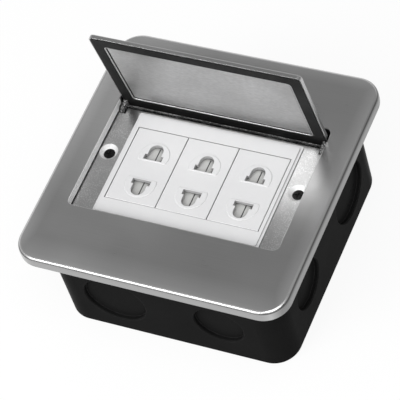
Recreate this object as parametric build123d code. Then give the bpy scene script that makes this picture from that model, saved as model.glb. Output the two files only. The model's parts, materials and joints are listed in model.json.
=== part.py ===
from build123d import *
import os
from math import cos, hypot, radians, sin, sqrt

# Floor socket box: a flush stainless cover plate with a hinged lid over a row of three
# two-pin socket modules, on a pressed frame that screws down to a black steel back box.
# Millimetres. The origin is at the middle of the back box's underside, +Z is up, and the
# lid's hinge lies along X at the back, on the +Y side. The lid stands open, as stored.
# The part is set out from the row of modules outward, so a change there carries through.

# How far a cut runs past the face that it opens
CUT_PAST = 1.0

# Socket modules
MODULE_PITCH = 23.0
MODULE_COUNT = 3
MODULE_GAP = 0.25
MODULE_LENGTH = 36.6
MODULE_Y = -3.0
MODULE_SHEET = 1.5
MODULE_EDGE_R = 0.4
MODULE_PROUD = 0.1
PIN_X = 0.9
PIN_Y = -1.6
PAD_R = 6.8
PAD_Y = 7.1
PAD_FLAT_Y = 4.4
PAD_HEIGHT = 0.25
PAD_CHAMFER = 0.2
BLADE_SLOT_WIDTH = 8.3
BLADE_SLOT_HEIGHT = 2.5
BLADE_SPACING = 12.7
ROUND_HOLE_R = 3.1
ROUND_SPACING = 19.5

# Module housing, under the face
HOUSING_SIDE_GAP = 0.3
HOUSING_END_FIT = 0.05
HOUSING_WALL = 0.7
HOUSING_END_WALL = 3.5
HOUSING_FLOOR = 2.9
HOUSING_CHAMFER = 0.8
DECK_SHEET = 1.2
PIN_WAY_FIT = 0.1
CLIP_REACH = 0.6
CLIP_HEIGHT = 1.6
CLIP_WIDTH = 8.0

# Shutter, one to a module, that a plug's pins wedge aside
SHUTTER_FIT = 0.15
SHUTTER_SIDE_FIT = 0.3
SHUTTER_END_FIT = 0.1
SHUTTER_THICKNESS = 3.6
SHUTTER_RIGHT = 4.6
SHUTTER_CREST_X = -3.3
SHUTTER_STEP_X = 3.3
SHUTTER_CREST_DROP = 0.9
SHUTTER_STEP = 0.8
SHUTTER_TOE_DROP = 1.0
SHUTTER_HEEL = 0.4
SHUTTER_TRAVEL = 6.6
SPRING_SEAT = 0.8
SPRING_SLOT = 4.4
SPRING_ROOF = 1.2
SPRING_SHEET = 0.25
SPRING_HEIGHT = 1.8
SPRING_FOLDS = 6
SPRING_FIT = 0.5
SPRING_LIFT = 0.2

# Contacts and terminals
CONTACT_SHEET = 0.6
CONTACT_WIDTH = 7.0
CONTACT_HEIGHT = 14.0
CONTACT_INNER_Y = 4.6
CONTACT_END_WALL = 3.1
CONTACT_THROAT = 1.8
CONTACT_KNEE = 4.9
CONTACT_PINCH = 9.8
CONTACT_FLARE = 1.0
CONTACT_TOP_GAP = 0.4
BAY_SIDE_FIT = 0.6
BAY_END_FIT = 0.8
TERMINAL_R = 1.5
TERMINAL_HEAD_R = 2.8
TERMINAL_HEAD = 2.0
TERMINAL_SLOT = 0.8

# White surround that carries the modules
SURROUND_SIDE = 2.7
SURROUND_FRONT_BORDER = 8.1
SURROUND_BACK_BORDER = 7.6
SURROUND_CORNER_R = 0.8
SURROUND_STEP = 0.55
SURROUND_STEP_WIDTH = 1.1
SURROUND_HEIGHT = 1.1
SURROUND_INSET = 1.8
SURROUND_WALL = 1.6
SURROUND_SKIRT = 5.0
MODULE_FIT = 0.15
LEDGE_DEPTH = 2.1
WINDOW_FIT = 0.2
HOOK_REACH = 0.7
HOOK_HEIGHT = 1.6
HOOK_WIDTH = 8.0
HOOK_ROOT = 0.5
HOOK_PITCH = 26.0

# Lid and its hinge
LID_SIDE_GAP = 0.4
LID_FRONT_GAP = 0.9
LID_TAIL = 5.2
LID_CORNER_R = 2.0
LID_SHEET = 1.0
LID_RIM = 0.6
LID_RIM_DEPTH = 1.9
LID_EDGE_R = 0.6
HINGE_SETBACK = 0.9
HINGE_DEPTH = 5.0
OPEN_ANGLE = 81.5
PIN_R = 1.0
PIN_CLEARANCE = 0.05
PIN_HEAD_R = 1.7
PIN_HEAD = 0.8
PIN_TAIL = 0.4
NOTCH_FIT = 0.3
EAR_R = 2.4
LEAF_SHEET = 1.6
LEAF_SETBACK = 1.8
LEAF_BACK_GAP = 0.6
LEAF_END_GAP = 0.4
LEAF_GASKET_GAP = 0.1
WASHER_R = 2.2
WASHER_THICKNESS = 0.6
GASKET_WIDTH = 4.8
GASKET_THICKNESS = 1.2
PANEL_SHEET = 0.6
PANEL_LIP = 1.1
PANEL_CORNER_R = 1.7
PANEL_BACK = 4.8
STOP_WIDTH = 6.0
STOP_PITCH = 44.0
STOP_GAP = 0.1
STOP_DROP = 2.4
STOP_ABOVE_TAIL = 1.2

# Cover plate, whose opening leaves a strip of the frame open beside the surround
SIDE_STRIP = 9.8
OPENING_FRONT_GAP = 0.9
TAIL_CLEARANCE = 0.2
OPENING_CORNER_R = 2.5
OPENING_EDGE_R = 0.4
PLATE_OVERHANG = 8.0
PLATE_CORNER_R = 11.0
PLATE_SHEET = 1.5
PLATE_EDGE_R = 1.8
PLATE_INNER_R = 0.6
SKIRT_DEPTH = 4.8
LIP_SHEET = 1.5
LIP_DEPTH = 4.6
LIP_LIFT = 0.8
BOSS_R = 3.2
BOSS_INSET = 7.5
BOSS_SCREW_R = 1.25
BOSS_SCREW_HEAD_R = 2.6
BOSS_SCREW_HEAD = 1.6
BOSS_SCREW_LENGTH = 3.6

# Floor seal under the skirt
SEAL_THICKNESS = 0.8
SEAL_INSET = 0.6
SEAL_BOX_GAP = 0.6

# Pressed mounting frame
FRAME_SHEET = 1.2
FRAME_INSET = 0.5
HINGE_SLOT_FRONT = 0.2
HINGE_SLOT_BACK = 0.4

# Back box
BOX_MARGIN = 5.0
BOX_HEIGHT = 47.5
BOX_CORNER_R = 11.0
BOX_WALL = 1.4
BOX_FOOT_R = 1.2
KNOCKOUT_R = 13.7
KNOCKOUT_SMALL_R = 10.9
KNOCKOUT_DEPTH = 2.0
KNOCKOUT_EDGE = 0.4
KNOCKOUT_PITCH = 47.0
KNOCKOUT_Z = 21.5
FIXING_PITCH = 70.0
FIXING_R = 2.4

# Box lugs and the two screws that pull the top down on them
LUG_INSET = 4.25
LUG_Y = 1.0
LUG_WIDTH = 14.0
LUG_CORNER_R = 3.5
LUG_GAP = 0.3
LUG_SHEET = 2.0
LUG_DROP = 14.0
SCREW_R = 1.75
SCREW_HEAD_R = 2.5
SCREW_LENGTH = 18.0
SCREW_RECESS = 3.0
SCREW_SLOT_WIDTH = 0.8
SCREW_HOLE_FIT = 0.25
DIMPLE_R = 4.0
DIMPLE_FLOOR = 0.6

# Earth terminal on the box floor
EARTH_TAB = 12.0
EARTH_SHEET = 1.2
EARTH_FROM_SIDE = 36.0
EARTH_SHANK = 2.25

# Levels worked out from the sizes above
FRAME_Z = BOX_HEIGHT
FRAME_TOP = FRAME_Z + FRAME_SHEET
TOP = FRAME_TOP + LIP_DEPTH
SKIRT_Z = TOP - SKIRT_DEPTH
HINGE_Z = TOP - HINGE_DEPTH
SURROUND_TOP = FRAME_TOP + SURROUND_HEIGHT
HOOK_Z = FRAME_Z
CLIP_Z = FRAME_Z - SURROUND_SKIRT
MODULE_TOP = SURROUND_TOP + MODULE_PROUD
MODULE_UNDER = MODULE_TOP - MODULE_SHEET
SHUTTER_TOP = MODULE_UNDER - SHUTTER_FIT
SHUTTER_Z = SHUTTER_TOP - SHUTTER_THICKNESS
DECK_TOP = SHUTTER_Z - SHUTTER_FIT
DECK_UNDER = DECK_TOP - DECK_SHEET
CONTACT_Z = DECK_UNDER - CONTACT_HEIGHT
HOUSING_Z = CONTACT_Z - HOUSING_FLOOR
SCREW_HOLE_R = SCREW_R + SCREW_HOLE_FIT
DIMPLE_Z = FRAME_TOP - (DIMPLE_R - SCREW_HOLE_R) - DIMPLE_FLOOR
LUG_Z = DIMPLE_Z - LUG_SHEET

# Places worked out from the sizes above
MODULE_XS = [MODULE_PITCH * (i - (MODULE_COUNT - 1) / 2) for i in range(MODULE_COUNT)]
ROW_WIDTH = MODULE_PITCH * MODULE_COUNT
SURROUND_WIDTH = ROW_WIDTH + 2 * SURROUND_SIDE
SURROUND_FRONT = MODULE_Y - MODULE_LENGTH / 2 - SURROUND_FRONT_BORDER
SURROUND_BACK = MODULE_Y + MODULE_LENGTH / 2 + SURROUND_BACK_BORDER
SURROUND_Y = (SURROUND_FRONT + SURROUND_BACK) / 2
SURROUND_LENGTH = SURROUND_BACK - SURROUND_FRONT
SKIRT_WIDTH = SURROUND_WIDTH - 2 * SURROUND_INSET
SKIRT_LENGTH = SURROUND_LENGTH - 2 * SURROUND_INSET
SEAT_WIDTH = ROW_WIDTH + 2 * MODULE_FIT
SEAT_LENGTH = MODULE_LENGTH + 2 * MODULE_FIT
HOUSING_WIDTH = MODULE_PITCH - 2 * HOUSING_SIDE_GAP
HOUSING_LENGTH = SEAT_LENGTH - 2 * SURROUND_WALL - 2 * HOUSING_END_FIT
ROOM_X = HOUSING_WIDTH / 2 - HOUSING_WALL
SHUTTER_LEFT = ROOM_X - SHUTTER_TRAVEL - SHUTTER_END_FIT
SHUTTER_REACH = HOUSING_LENGTH / 2 - HOUSING_END_WALL - SHUTTER_SIDE_FIT
CONTACT_OUTER_Y = HOUSING_LENGTH / 2 - CONTACT_END_WALL - BAY_END_FIT
TERMINAL_Y = (CONTACT_INNER_Y + CONTACT_OUTER_Y) / 2
WINDOW_WIDTH = SKIRT_WIDTH + 2 * WINDOW_FIT
WINDOW_LENGTH = SKIRT_LENGTH + 2 * WINDOW_FIT
HINGE_Y = SURROUND_BACK + HINGE_SETBACK
OPENING_WIDTH = SURROUND_WIDTH + 2 * SIDE_STRIP
OPENING_FRONT = SURROUND_FRONT - OPENING_FRONT_GAP
OPENING_BACK = HINGE_Y + hypot(LID_TAIL, HINGE_DEPTH) + TAIL_CLEARANCE
OPENING_Y = (OPENING_FRONT + OPENING_BACK) / 2
OPENING_LENGTH = OPENING_BACK - OPENING_FRONT
LIP_IN = OPENING_WIDTH / 2
LIP_OUT = LIP_IN + LIP_SHEET
SLOT_FRONT = HINGE_Y + HINGE_SLOT_FRONT
SLOT_BACK = OPENING_BACK + HINGE_SLOT_BACK
LID_WIDTH = OPENING_WIDTH - 2 * LID_SIDE_GAP
LID_FRONT = OPENING_FRONT + LID_FRONT_GAP
LID_BACK = HINGE_Y + LID_TAIL
LID_Y = (LID_FRONT + LID_BACK) / 2
LID_LENGTH = LID_BACK - LID_FRONT
LID_INNER = TOP - LID_SHEET
EAR_OUT = LID_WIDTH / 2 - LEAF_END_GAP
EAR_IN = EAR_OUT - LEAF_SHEET
RIM_BACK = HINGE_Y - EAR_R - LEAF_GASKET_GAP
LEAF_FRONT = HINGE_Y + LEAF_SETBACK
LEAF_BACK = LID_BACK - LEAF_BACK_GAP
GASKET_FRONT = LID_FRONT + LID_RIM
GASKET_BACK = LEAF_FRONT - LEAF_GASKET_GAP
GASKET_X = LID_WIDTH / 2 - LID_RIM
BOX_SIZE = OPENING_WIDTH + 2 * BOX_MARGIN
BOX_INNER = BOX_SIZE - 2 * BOX_WALL
FRAME_SIZE = BOX_SIZE - 2 * FRAME_INSET
PLATE_SIZE = BOX_SIZE + 2 * PLATE_OVERHANG
BOSS_X = FRAME_SIZE / 2 - BOSS_INSET
LUG_X = LIP_IN - LUG_INSET


def slab(width, length, z_low, z_high, corner=0.0, x=0.0, y=0.0):
    """Upright plate with round corners, between two levels."""
    outline = RectangleRounded(width, length, corner) if corner > 0 else Rectangle(width, length)
    return Pos(x, y, z_low) * extrude(outline, z_high - z_low)


def block(x0, x1, y0, y1, z0, z1):
    """Plain block between two corners."""
    return Pos((x0 + x1) / 2, (y0 + y1) / 2, (z0 + z1) / 2) * Box(x1 - x0, y1 - y0, z1 - z0)


def post(radius, z_low, z_high, x=0.0, y=0.0):
    """Upright round bar."""
    return Pos(x, y, (z_low + z_high) / 2) * Cylinder(radius, z_high - z_low)


def side_bar(radius, x0, x1, y, z):
    """Round bar that lies along X."""
    return Pos((x0 + x1) / 2, y, z) * Rot(0, 90, 0) * Cylinder(radius, x1 - x0)


def both_sides(solid):
    """The solid and its mirror image across the middle plane."""
    return [solid, mirror(solid, about=Plane.YZ)]


def both_ends(solid):
    """The solid and a copy turned half round, for a module's two ends."""
    return [solid, Rot(0, 0, 180) * solid]


def opened(solid):
    """Turn a piece of the closed lid up to where it stands open."""
    turn = Pos(0, HINGE_Y, HINGE_Z) * Rot(-OPEN_ANGLE, 0, 0) * Pos(0, -HINGE_Y, -HINGE_Z)
    return turn * solid


def bar_along_x(outline, x0, x1):
    """Bar along X from a closed outline drawn in (y, z)."""
    plane = Plane(origin=(x0, 0, 0), x_dir=(0, 1, 0), z_dir=(1, 0, 0))
    return extrude(plane * make_face(outline), x1 - x0)


def bar_along_y(outline, y0, y1):
    """Bar along Y from a closed outline drawn in (x, z)."""
    plane = Plane(origin=(0, y1, 0), x_dir=(1, 0, 0), z_dir=(0, -1, 0))
    return extrude(plane * make_face(outline), y1 - y0)


def save(name, shapes):
    """Write one node, as one solid or a group of separate ones."""
    solids = [s for shape in shapes for s in shape.solids()]
    piece = solids[0] if len(solids) == 1 else Compound(children=solids)
    piece.label = name
    export_step(piece, f"parts/{name}.step")


# Back box

def pressed_disc(radius, depth, across):
    """Round bar from the outer face of the box's front wall inward."""
    return Pos(across, (depth - BOX_SIZE) / 2, KNOCKOUT_Z) * Rot(90, 0, 0) * Cylinder(radius, depth)


def knockout(radius, across):
    """Round blank for a cable entry, as the metal pushed in and the dish that it leaves."""
    metal = pressed_disc(radius + BOX_WALL, KNOCKOUT_DEPTH + BOX_WALL, across)
    flare = Cone(radius, radius + KNOCKOUT_EDGE, KNOCKOUT_EDGE)
    flare = Pos(across, (KNOCKOUT_EDGE - BOX_SIZE) / 2, KNOCKOUT_Z) * Rot(90, 0, 0) * flare
    return metal, pressed_disc(radius, KNOCKOUT_DEPTH, across) + flare


def back_box():
    box = slab(BOX_SIZE, BOX_SIZE, 0, BOX_HEIGHT, BOX_CORNER_R)
    box = fillet(box.edges().group_by(Axis.Z)[0], BOX_FOOT_R)
    box -= slab(BOX_INNER, BOX_INNER, BOX_WALL, BOX_HEIGHT + CUT_PAST, BOX_CORNER_R - BOX_WALL)
    for angle, side in ((0, 1), (90, -1), (180, 1), (270, -1)):
        for radius, across in ((KNOCKOUT_R, -side), (KNOCKOUT_SMALL_R, side)):
            metal, dish = knockout(radius, across * KNOCKOUT_PITCH / 2)
            box += Rot(0, 0, angle) * metal
            box -= Rot(0, 0, angle) * dish
    for x in (-FIXING_PITCH / 2, FIXING_PITCH / 2):
        for y in (-FIXING_PITCH / 2, FIXING_PITCH / 2):
            box -= post(FIXING_R, -CUT_PAST, BOX_WALL + CUT_PAST, x, y)
    return box


def box_lug():
    """Angle bracket welded inside a side wall, tapped for a frame screw."""
    wall = BOX_INNER / 2
    inner = SKIRT_WIDTH / 2 + HOOK_REACH + LUG_GAP
    y0, y1 = LUG_Y - LUG_WIDTH / 2, LUG_Y + LUG_WIDTH / 2
    lug = block(inner, wall, y0, y1, LUG_Z, DIMPLE_Z)
    lug = fillet(lug.edges().filter_by(Axis.Z).group_by(Axis.X)[0], LUG_CORNER_R)
    lug += block(wall - LUG_SHEET, wall, y0, y1, LUG_Z - LUG_DROP, DIMPLE_Z)
    return lug - post(SCREW_R, LUG_Z - CUT_PAST, DIMPLE_Z + CUT_PAST, LUG_X, LUG_Y)


def frame_screw():
    """Countersunk black screw from the frame's dimple down through the lug."""
    head_top = FRAME_TOP - (DIMPLE_R - SCREW_HEAD_R)
    cone = SCREW_HEAD_R - SCREW_R
    head = Pos(0, 0, head_top - cone / 2) * Cone(SCREW_R, SCREW_HEAD_R, cone)
    screw = head + post(SCREW_R - PIN_CLEARANCE, head_top - SCREW_LENGTH, head_top - cone)
    for angle in (0, 90):
        slot = Box(SCREW_RECESS, SCREW_SLOT_WIDTH, 2 * SCREW_SLOT_WIDTH)
        screw -= Pos(0, 0, head_top) * Rot(0, 0, angle) * slot
    return Pos(LUG_X, LUG_Y, 0) * screw


def earth_terminal():
    """Folded steel tab and screw on the box floor for the earth wire."""
    half = EARTH_TAB / 2
    x, y = EARTH_FROM_SIDE - BOX_SIZE / 2, BOX_INNER / 2 - EARTH_TAB
    z = BOX_WALL
    foot = block(x - half, x + half, y - half, y + half, z, z + EARTH_SHEET)
    tab = block(x - half, x - half + EARTH_SHEET, y - half, y + half, z, z + EARTH_TAB)
    low = z + EARTH_SHEET
    screw = post(TERMINAL_R, low, low + EARTH_SHANK, x, y)
    screw += post(TERMINAL_HEAD_R, low + EARTH_SHANK, low + EARTH_SHANK + TERMINAL_HEAD, x, y)
    return foot + tab, screw


# Cover plate, seal and mounting frame

def boss_places():
    return [(x, y) for x in (-BOSS_X, BOSS_X) for y in (-BOSS_X, BOSS_X)]


def hinge_ear():
    """Tab of the opening's lip that turns down past the frame and holds a hinge pin."""
    ear = block(LIP_IN, LIP_OUT, HINGE_Y - EAR_R, HINGE_Y + EAR_R, HINGE_Z, TOP - PLATE_SHEET)
    return ear + side_bar(EAR_R, LIP_IN, LIP_OUT, HINGE_Y, HINGE_Z)


def cover_plate():
    sunk = TOP - PLATE_SHEET / 2
    plate = slab(PLATE_SIZE, PLATE_SIZE, SKIRT_Z, TOP, PLATE_CORNER_R)
    plate = fillet(plate.edges().group_by(Axis.Z)[-1], PLATE_EDGE_R)
    inner = PLATE_SIZE - 2 * PLATE_SHEET
    hollow = slab(inner, inner, SKIRT_Z - CUT_PAST, TOP - PLATE_SHEET, PLATE_CORNER_R - PLATE_SHEET)
    plate -= fillet(hollow.edges().group_by(Axis.Z)[-1], PLATE_INNER_R)
    plate += slab(2 * LIP_OUT, OPENING_LENGTH + 2 * LIP_SHEET, FRAME_TOP + LIP_LIFT, sunk,
                  OPENING_CORNER_R + LIP_SHEET, 0, OPENING_Y)
    plate -= slab(OPENING_WIDTH, OPENING_LENGTH, SKIRT_Z - CUT_PAST, TOP + CUT_PAST,
                  OPENING_CORNER_R, 0, OPENING_Y)
    rim = [e for e in plate.edges().group_by(Axis.Z)[-1] if abs(e.center().X) < LIP_OUT]
    rim = [e for e in rim if OPENING_FRONT - LIP_SHEET < e.center().Y < OPENING_BACK + LIP_SHEET]
    plate = fillet(rim, OPENING_EDGE_R)
    for ear in both_sides(hinge_ear()):
        plate += ear
    bore_top = FRAME_TOP + BOSS_SCREW_LENGTH - FRAME_SHEET
    for x, y in boss_places():
        plate += post(BOSS_R, FRAME_TOP, sunk, x, y)
        plate -= post(BOSS_SCREW_R, FRAME_TOP - CUT_PAST, bore_top, x, y)
    plate -= side_bar(PIN_R, -LIP_OUT - CUT_PAST, LIP_OUT + CUT_PAST, HINGE_Y, HINGE_Z)
    return plate


def floor_seal():
    """Thin foam ring between the skirt and the floor."""
    outer = PLATE_SIZE - 2 * SEAL_INSET
    inner = BOX_SIZE + 2 * SEAL_BOX_GAP
    low = SKIRT_Z - SEAL_THICKNESS
    ring = slab(outer, outer, low, SKIRT_Z, PLATE_CORNER_R - SEAL_INSET)
    return ring - slab(inner, inner, low - CUT_PAST, SKIRT_Z + CUT_PAST, BOX_CORNER_R + SEAL_BOX_GAP)


def lid_stop():
    """Tab turned down from the hinge slot's front edge, that the open lid's leaf meets."""
    bend = FRAME_Z - STOP_DROP
    heel = HINGE_DEPTH - LID_SHEET - LEAF_SHEET - STOP_GAP
    a = radians(OPEN_ANGLE)
    tip_z = HINGE_Z - LID_TAIL * sin(a) + STOP_ABOVE_TAIL
    tip_y = HINGE_Y + (heel + (HINGE_Z - tip_z) * cos(a)) / sin(a)
    low_y = HINGE_Y + (heel + (HINGE_Z - tip_z + FRAME_SHEET) * cos(a)) / sin(a)
    arm = SLOT_FRONT - FRAME_SHEET
    outline = Polyline((arm, FRAME_TOP), (SLOT_FRONT, FRAME_TOP), (SLOT_FRONT, bend),
                       (tip_y, tip_z), (low_y, tip_z - FRAME_SHEET), (arm, bend - FRAME_SHEET),
                       close=True)
    return bar_along_x(outline, (STOP_PITCH - STOP_WIDTH) / 2, (STOP_PITCH + STOP_WIDTH) / 2)


def mounting_frame():
    frame = slab(FRAME_SIZE, FRAME_SIZE, FRAME_Z, FRAME_TOP, BOX_CORNER_R - FRAME_INSET)
    for x in (-LUG_X, LUG_X):
        frame += post(DIMPLE_R + FRAME_SHEET, DIMPLE_Z, FRAME_TOP, x, LUG_Y)
    frame -= slab(WINDOW_WIDTH, WINDOW_LENGTH, DIMPLE_Z - CUT_PAST, FRAME_TOP + CUT_PAST,
                  0, 0, SURROUND_Y)
    low, high = FRAME_Z - CUT_PAST, FRAME_TOP + CUT_PAST
    frame -= block(-LIP_IN, LIP_IN, SLOT_FRONT, SLOT_BACK, low, high)
    notch = block(EAR_IN - PIN_TAIL - NOTCH_FIT, LIP_OUT + PIN_HEAD + NOTCH_FIT,
                  HINGE_Y - EAR_R - NOTCH_FIT, HINGE_Y + EAR_R + NOTCH_FIT, low, high)
    for cut in both_sides(notch):
        frame -= cut
    depth = DIMPLE_R - SCREW_HOLE_R
    for x in (-LUG_X, LUG_X):
        frame -= Pos(x, LUG_Y, FRAME_TOP - depth / 2) * Cone(SCREW_HOLE_R, DIMPLE_R, depth)
        frame -= post(SCREW_HOLE_R, DIMPLE_Z - CUT_PAST, FRAME_TOP, x, LUG_Y)
    for x, y in boss_places():
        frame -= post(BOSS_SCREW_R + PIN_CLEARANCE, low, high, x, y)
    for stop in both_sides(lid_stop()):
        frame += stop
    return frame


def cover_screws():
    """Small screws from below that hold the cover plate's bosses to the frame."""
    screws = []
    for x, y in boss_places():
        head = post(BOSS_SCREW_HEAD_R, FRAME_Z - BOSS_SCREW_HEAD, FRAME_Z, x, y)
        shank = post(BOSS_SCREW_R - PIN_CLEARANCE, FRAME_Z, FRAME_Z + BOSS_SCREW_LENGTH, x, y)
        screws.append(head + shank)
    return screws


# Lid, drawn closed and then turned open

def lid_plate():
    low = TOP - LID_RIM_DEPTH
    plate = slab(LID_WIDTH, LID_LENGTH, low, TOP, LID_CORNER_R, 0, LID_Y)
    plate = fillet(plate.edges().group_by(Axis.Z)[-1], LID_EDGE_R)
    plate -= slab(LID_WIDTH - 2 * LID_RIM, LID_LENGTH - 2 * LID_RIM, low - CUT_PAST, LID_INNER,
                  LID_CORNER_R - LID_RIM, 0, LID_Y)
    plate -= block(-LID_WIDTH, LID_WIDTH, RIM_BACK, LID_BACK + CUT_PAST, low - CUT_PAST, LID_INNER)
    return opened(plate)


def hinge_leaf():
    """Black steel strip across the lid's tail, with an ear at each end for the hinge pin."""
    leaf = block(-EAR_OUT, EAR_OUT, LEAF_FRONT, LEAF_BACK, LID_INNER - LEAF_SHEET, LID_INNER)
    ear = block(EAR_IN, EAR_OUT, HINGE_Y - EAR_R, HINGE_Y + EAR_R, HINGE_Z, LID_INNER)
    ear += block(EAR_IN, EAR_OUT, HINGE_Y, LEAF_BACK, LID_INNER - 2 * LEAF_SHEET, LID_INNER)
    for end in both_sides(ear + side_bar(EAR_R, EAR_IN, EAR_OUT, HINGE_Y, HINGE_Z)):
        leaf += end
    leaf -= side_bar(PIN_R + PIN_CLEARANCE, -LID_WIDTH, LID_WIDTH, HINGE_Y, HINGE_Z)
    return opened(leaf)


def panel_slab(grow, z_low, z_high):
    """Slab on the inner panel's outline, grown outward by a small amount."""
    y0, y1 = GASKET_FRONT + GASKET_WIDTH, HINGE_Y - PANEL_BACK
    width = 2 * (GASKET_X - GASKET_WIDTH + grow)
    return slab(width, y1 - y0 + 2 * grow, z_low, z_high, PANEL_CORNER_R + grow, 0, (y0 + y1) / 2)


def lid_gasket():
    low = LID_INNER - GASKET_THICKNESS
    gasket = slab(2 * GASKET_X, GASKET_BACK - GASKET_FRONT, low, LID_INNER,
                  LID_CORNER_R - LID_RIM, 0, (GASKET_FRONT + GASKET_BACK) / 2)
    notch = block(EAR_IN - LEAF_GASKET_GAP, GASKET_X + CUT_PAST, RIM_BACK, LID_BACK,
                  low - CUT_PAST, LID_INNER + CUT_PAST)
    for cut in both_sides(notch):
        gasket -= cut
    return opened(gasket - panel_slab(0, low - CUT_PAST, LID_INNER + CUT_PAST))


def lid_inner_panel():
    """Steel tray inside the gasket, its edge turned up all round to hold the rubber."""
    low = LID_INNER - PANEL_LIP
    panel = panel_slab(0, low, LID_INNER)
    return opened(panel - panel_slab(-PANEL_SHEET, low - CUT_PAST, LID_INNER - PANEL_SHEET))


def hinge_pin():
    pin = side_bar(PIN_R, EAR_IN - PIN_TAIL, LIP_OUT + PIN_HEAD / 2, HINGE_Y, HINGE_Z)
    return pin + side_bar(PIN_HEAD_R, LIP_OUT, LIP_OUT + PIN_HEAD, HINGE_Y, HINGE_Z)


def hinge_washer():
    """Friction washer between the leaf's ear and the cover's ear."""
    ring = side_bar(WASHER_R, LIP_IN - WASHER_THICKNESS, LIP_IN, HINGE_Y, HINGE_Z)
    return ring - side_bar(PIN_R, LIP_IN - WASHER_THICKNESS - CUT_PAST, LIP_IN + CUT_PAST,
                           HINGE_Y, HINGE_Z)


# Surround and socket modules

def surround_hook(y):
    """Snap hook on the skirt's side that grips under the frame."""
    x = SKIRT_WIDTH / 2
    outline = Polyline((x - HOOK_ROOT, HOOK_Z), (x + HOOK_REACH, HOOK_Z),
                       (x, HOOK_Z - HOOK_HEIGHT), (x - HOOK_ROOT, HOOK_Z - HOOK_HEIGHT), close=True)
    return bar_along_y(outline, y - HOOK_WIDTH / 2, y + HOOK_WIDTH / 2)


def module_surround():
    body = slab(SURROUND_WIDTH, SURROUND_LENGTH, FRAME_TOP, SURROUND_TOP - SURROUND_STEP,
                SURROUND_CORNER_R, 0, SURROUND_Y)
    body += slab(SURROUND_WIDTH - 2 * SURROUND_STEP_WIDTH, SURROUND_LENGTH - 2 * SURROUND_STEP_WIDTH,
                 FRAME_TOP, SURROUND_TOP, SURROUND_CORNER_R, 0, SURROUND_Y)
    body += slab(SKIRT_WIDTH, SKIRT_LENGTH, CLIP_Z, FRAME_TOP, 0, 0, SURROUND_Y)
    above, below = SURROUND_TOP + CUT_PAST, CLIP_Z - CUT_PAST
    body -= slab(SEAT_WIDTH, SEAT_LENGTH, MODULE_UNDER, above, 0, 0, MODULE_Y)
    body -= slab(SEAT_WIDTH, SEAT_LENGTH - 2 * SURROUND_WALL, below, above, 0, 0, MODULE_Y)
    half = SKIRT_WIDTH / 2 - SURROUND_WALL
    skirt_front = SURROUND_Y - SKIRT_LENGTH / 2 + SURROUND_WALL
    skirt_back = SURROUND_Y + SKIRT_LENGTH / 2 - SURROUND_WALL
    roof = MODULE_UNDER - LEDGE_DEPTH
    body -= block(-half, half, skirt_front, MODULE_Y - SEAT_LENGTH / 2, below, roof)
    body -= block(-half, half, MODULE_Y + SEAT_LENGTH / 2, skirt_back, below, roof)
    for y in (SURROUND_Y - HOOK_PITCH / 2, SURROUND_Y + HOOK_PITCH / 2):
        for hook in both_sides(surround_hook(y)):
            body += hook
    return body


def pin_opening(z_low, z_high, grow=0.0):
    """Blade slot with a round hole grown out of it, for the pin on the +Y side."""
    y, r = BLADE_SPACING / 2, ROUND_HOLE_R + grow
    half_w, half_h = BLADE_SLOT_WIDTH / 2 + grow, BLADE_SLOT_HEIGHT / 2 + grow
    cut = block(-half_w, half_w, y - half_h, y + half_h, z_low, z_high)
    cut += block(-r, r, y, ROUND_SPACING / 2, z_low, z_high)
    return cut + post(r, z_low, z_high, 0, ROUND_SPACING / 2)


def raised_pad():
    """Low D-shaped pad round an opening, its flat side to the module's middle."""
    pad = post(PAD_R, MODULE_TOP - PAD_HEIGHT, MODULE_TOP + PAD_HEIGHT, 0, PAD_Y)
    pad &= block(-PAD_R, PAD_R, PAD_FLAT_Y, PAD_Y + PAD_R, MODULE_UNDER, TOP)
    return chamfer(pad.faces().sort_by(Axis.Z)[-1].edges(), PAD_CHAMFER)


def module_face():
    face = slab(MODULE_PITCH - MODULE_GAP, MODULE_LENGTH, MODULE_UNDER, MODULE_TOP)
    face = fillet(face.edges().group_by(Axis.Z)[-1], MODULE_EDGE_R)
    for pad in both_ends(raised_pad()):
        face += Pos(PIN_X, PIN_Y, 0) * pad
    for cut in both_ends(pin_opening(MODULE_UNDER - CUT_PAST, TOP)):
        face -= Pos(PIN_X, PIN_Y, 0) * cut
    return Pos(0, MODULE_Y, 0) * face


def housing_clip():
    """Snap clip on the housing's end that grips under the surround's wall."""
    y = HOUSING_LENGTH / 2
    outline = Polyline((y - HOOK_ROOT, CLIP_Z), (y + CLIP_REACH, CLIP_Z),
                       (y, CLIP_Z - CLIP_HEIGHT), (y - HOOK_ROOT, CLIP_Z - CLIP_HEIGHT), close=True)
    return bar_along_x(outline, -CLIP_WIDTH / 2, CLIP_WIDTH / 2)


def contact_bay():
    """Room for one contact under the deck, on the +Y side."""
    half = CONTACT_WIDTH / 2 + BAY_SIDE_FIT
    return block(-half, half, CONTACT_INNER_Y - BAY_END_FIT, CONTACT_OUTER_Y + BAY_END_FIT,
                 CONTACT_Z, DECK_UNDER)


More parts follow.
